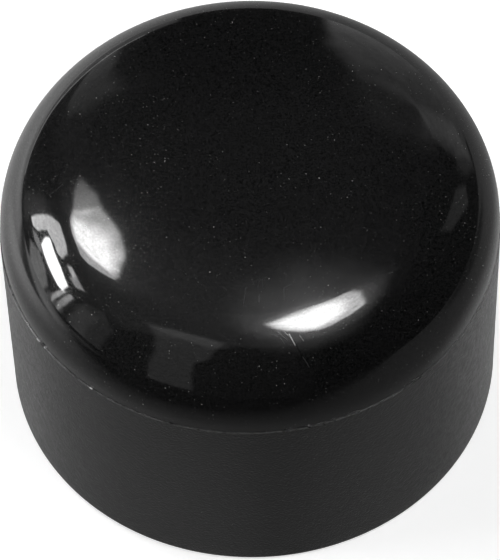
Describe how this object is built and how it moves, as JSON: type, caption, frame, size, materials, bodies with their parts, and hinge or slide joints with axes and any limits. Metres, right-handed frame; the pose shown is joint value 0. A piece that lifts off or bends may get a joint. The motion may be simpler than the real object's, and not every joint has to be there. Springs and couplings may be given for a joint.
{
  "type": "tube end cap",
  "caption": "Black push-on end cap for a round tube: a polished shallow dome rolls over a rounded shoulder into a satin skirt that the tube fits up inside.",
  "frame": {"origin": "centre of the rim's plane, on the axis of the bore", "axes": "+Z along the bore axis, from the open rim up through the crown; X and Y are free, because the cap is round"},
  "size_m": [0.0538, 0.0538, 0.038],
  "materials": {
    "cap": "polished dome over a satin skirt"
  },
  "bodies": {
    "root": {"end_cap": "cap"}
  },
  "joints": []
}
